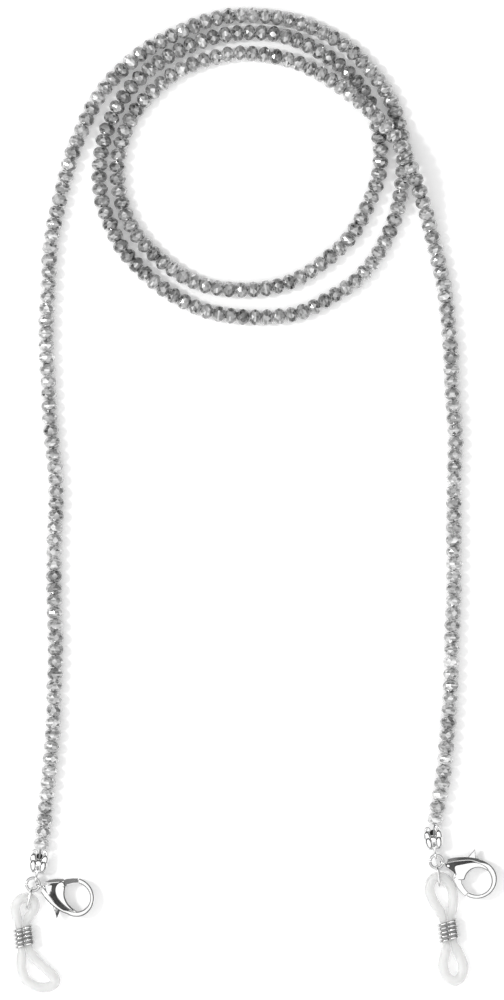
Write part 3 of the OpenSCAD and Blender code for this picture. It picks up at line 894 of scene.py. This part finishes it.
def clasp_lever(end):
    """The sprung lever between the cheeks: gate, hub and thumb tab. The left one's gate and tab slope."""
    gate = [(3.3, 1.4), (3.6, 2.3), (4.8, 3.1), (6.0, 3.62), (6.95, 3.9), (7.25, 2.95), (6.2, 2.55)]
    gate += [(5.2, 1.9), (4.8, 1.2)]
    hub = circle_points((3.9, 1.0), 1.02, 0, 345, 24)
    tab = end.shape["tab"]
    tail = [(3.0, 0.6), (4.0, -1.4), (3.9, -3.1), tab, (5.5, -3.7), (5.4, -1.8), (4.9, 0.6)]
    fin = [(3.9, -3.0), tab, (5.55, -3.6), (5.4, -3.1)]
    parts = [
        plate(gate, -0.48, 0.75, 0.1, slope=end.shape["gate_slope"], pivot=(5.6, 2.3)),
        plate(hub, -0.48, 0.48, 0.08),
        plate(tail, -0.48, 0.0, 0.08),
        plate(fin, -0.48, 0.35, 0.08, slope=end.shape["tab_slope"], pivot=(4.9, -3.8)),
    ]
    obj = join_parts(
        end.piece("gate_lever"), [], SILVER, [moved(p, end.clasp_pose()) for p in parts]
    )
    finish_piece(obj, end.piece("lever"), "silver_plate", end.piece("clasp_lever"))


# ---------------------------------------------------------------- silicone loops and their coils


def ease(t):
    """Smooth step from 0 to 1."""
    t = min(1, max(0, t))
    return t * t * (3 - 2 * t)


def coil_pose(end):
    """From the coil's own axes, along +Y, to the scene's axes."""
    return Matrix.Translation(end.coil) @ Matrix.Rotation(math.radians(end.tilt), 4, "Z")


def silicone_loop(end):
    """The closed silicone cord, squeezed in the coil."""
    flat = closed_spline(end.loop, 6)
    line = np.array([(x, y, 0) for x, y in flat])
    radii = [
        WAIST_RADIUS + (BAND_RADIUS - WAIST_RADIUS) * ease((abs(y) - 2.4 * MM) / (1.6 * MM))
        for _, y in flat
    ]
    part = moved(tube(line, radii, 24, closed=True), coil_pose(end))
    obj = join_parts(end.piece("silicone"), [part], SILICONE)
    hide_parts(end.piece("silicone_loop"))
    end.piece("loop")
    end.piece("coil")
    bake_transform(obj)


def coil(end, turns=5, pitch=0.82, steps=48):
    """The coil round both cords, dipping a little between them, each turn leaning."""
    half_wide, radius, wire = 0.75, 1.07, 0.3
    dip, dip_width = 0.34, 0.42
    arc = math.pi * radius
    around = 2 * arc + 4 * half_wide
    line = []
    for i in range(turns * steps + 1):
        s = (i % steps) / steps * around
        if s < 2 * half_wide:
            x, z = half_wide - s, -radius
        elif s < 2 * half_wide + arc:
            a = (s - 2 * half_wide) / radius
            x, z = -half_wide - radius * math.sin(a), -radius * math.cos(a)
        elif s < 4 * half_wide + arc:
            x, z = s - 3 * half_wide - arc, radius
        else:
            a = (s - 4 * half_wide - arc) / radius
            x, z = half_wide + radius * math.sin(a), radius * math.cos(a)
        z *= 1 - dip * math.exp(-((x / dip_width) ** 2))
        y = pitch * (i / steps - turns / 2) + TURN_LEAN * x
        line.append((x * MM, y * MM, z * MM))
    part = tube(np.array(line), [wire * MM] * len(line), 14, up=(0, 1, 0))
    obj = join_parts(end.piece("wire_coil"), [moved(part, coil_pose(end))], COIL_SILVER_SHADED)
    finish_piece(obj, end.piece("coil"), "coil_wire", end.piece("coil_slider"))


for end in ENDS:
    bead_tip(end)
    jump_ring(end)
    link_ring(end)
    clasp_body(end)
    clasp_slot(end)
    clasp_lever(end)
    silicone_loop(end)
    coil(end)

# CAD pieces that are shown as they are, in these materials
CARRIED_OVER = {"crimp": SILVER, "clasp_pin": SILVER, "clasp_spring": SPRING_STEEL}
for name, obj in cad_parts.items():
    look = CARRIED_OVER.get(name.rsplit("_", 1)[0])
    if look is not None:
        obj.data.materials.clear()
        obj.data.materials.append(look)
        for polygon in obj.data.polygons:
            polygon.use_smooth = True

# ---------------------------------------------------------------- table and light


def table_material():
    """Plain white paper with the faintest grain."""
    material, tree, shader = new_material("table")
    tree.links.new(
        ramp(tree, noise(tree, 40, 2), [(0.3, 0.93), (0.7, 0.95)]), shader.inputs["Base Color"]
    )
    shader.inputs["Roughness"].default_value = 0.9
    shader.inputs["Specular IOR Level"].default_value = 0
    shader.inputs["Emission Color"].default_value = (1, 1, 1, 1)
    shader.inputs["Emission Strength"].default_value = 0.12
    return material


TABLE_SIZE = 3.0
TABLE_LEVEL = -0.02 * MM
table = mesh_object(
    "table",
    [
        (x * TABLE_SIZE, y * TABLE_SIZE, TABLE_LEVEL)
        for x, y in ((-1, -1), (1, -1), (1, 1), (-1, 1))
    ],
    [(0, 1, 2, 3)],
    table_material(),
    smooth=False,
)


def area_light(name, location, target, size, power):
    """A square soft box facing a point."""
    data = bpy.data.lights.new(name, "AREA")
    data.shape = "SQUARE"
    data.size = size
    data.energy = power
    obj = bpy.data.objects.new(name, data)
    obj.location = location
    obj.rotation_euler = (Vector(target) - Vector(location)).to_track_quat("-Z", "Y").to_euler()
    scene.collection.objects.link(obj)


area_light("key", location=(-1.0, 0.2, 1.2), target=(0, 0, 0), size=0.2, power=9)

# white overhead, dark towards the horizon: what gives the plated parts their dark edges
SKY_GREYS = [(0.0, 0.2), (0.12, 0.04), (0.42, 0.09), (0.62, 0.85), (0.8, 1.0)]
SKY_STRENGTH = 1.27
world = bpy.data.worlds.new("studio")
scene.world = world
world.use_nodes = True
sky = world.node_tree
sky.nodes.clear()
sky_out = sky.nodes.new("ShaderNodeOutputWorld")
background = sky.nodes.new("ShaderNodeBackground")
direction = sky.nodes.new("ShaderNodeTexCoord")
slant = sky.nodes.new("ShaderNodeVectorMath")
slant.operation = "DOT_PRODUCT"
slant.inputs[1].default_value = (-0.05, -0.25, 1.0)
sky.links.new(direction.outputs["Generated"], slant.inputs[0])
sky.links.new(ramp(sky, slant.outputs["Value"], SKY_GREYS), background.inputs["Color"])
background.inputs["Strength"].default_value = SKY_STRENGTH
sky.links.new(background.outputs["Background"], sky_out.inputs["Surface"])
scene.view_settings.view_transform = "Standard"
